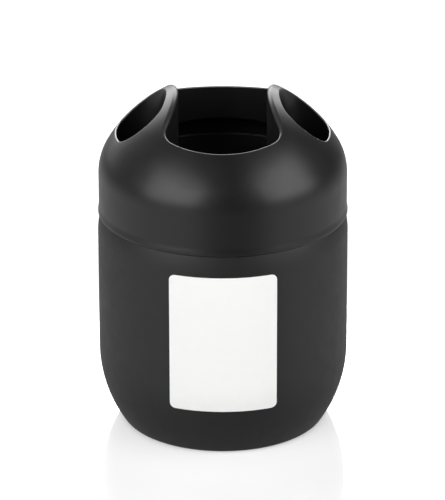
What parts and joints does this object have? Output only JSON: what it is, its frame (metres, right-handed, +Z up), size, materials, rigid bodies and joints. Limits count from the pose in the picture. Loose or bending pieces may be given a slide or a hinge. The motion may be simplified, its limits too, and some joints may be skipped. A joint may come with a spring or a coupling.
{
  "type": "toothbrush holder",
  "caption": "Round black toothbrush holder: a cup with a white front label, under a domed lift-off lid with a wide waisted centre opening and an oval opening on each side.",
  "frame": {"origin": "centre of the base, on the surface that the holder stands on", "axes": "+Z up along the round cup's axis; the label faces -Y; the side openings lie towards -X and +X"},
  "size_m": [0.087, 0.0872, 0.1212],
  "materials": {
    "cup_plastic": "matte, soft-touch",
    "lid_plastic": "satin, fine moulded texture",
    "label_film": "smooth satin label film"
  },
  "bodies": {
    "cup": {"cup": "cup_plastic", "label": "label_film"},
    "lid": {"lid": "lid_plastic"}
  },
  "joints": [
    {"name": "lid_lift", "type": "slide", "parent": "cup", "child": "lid", "axis": [0, 0, 1], "range_m": [0, 0.06]}
  ]
}
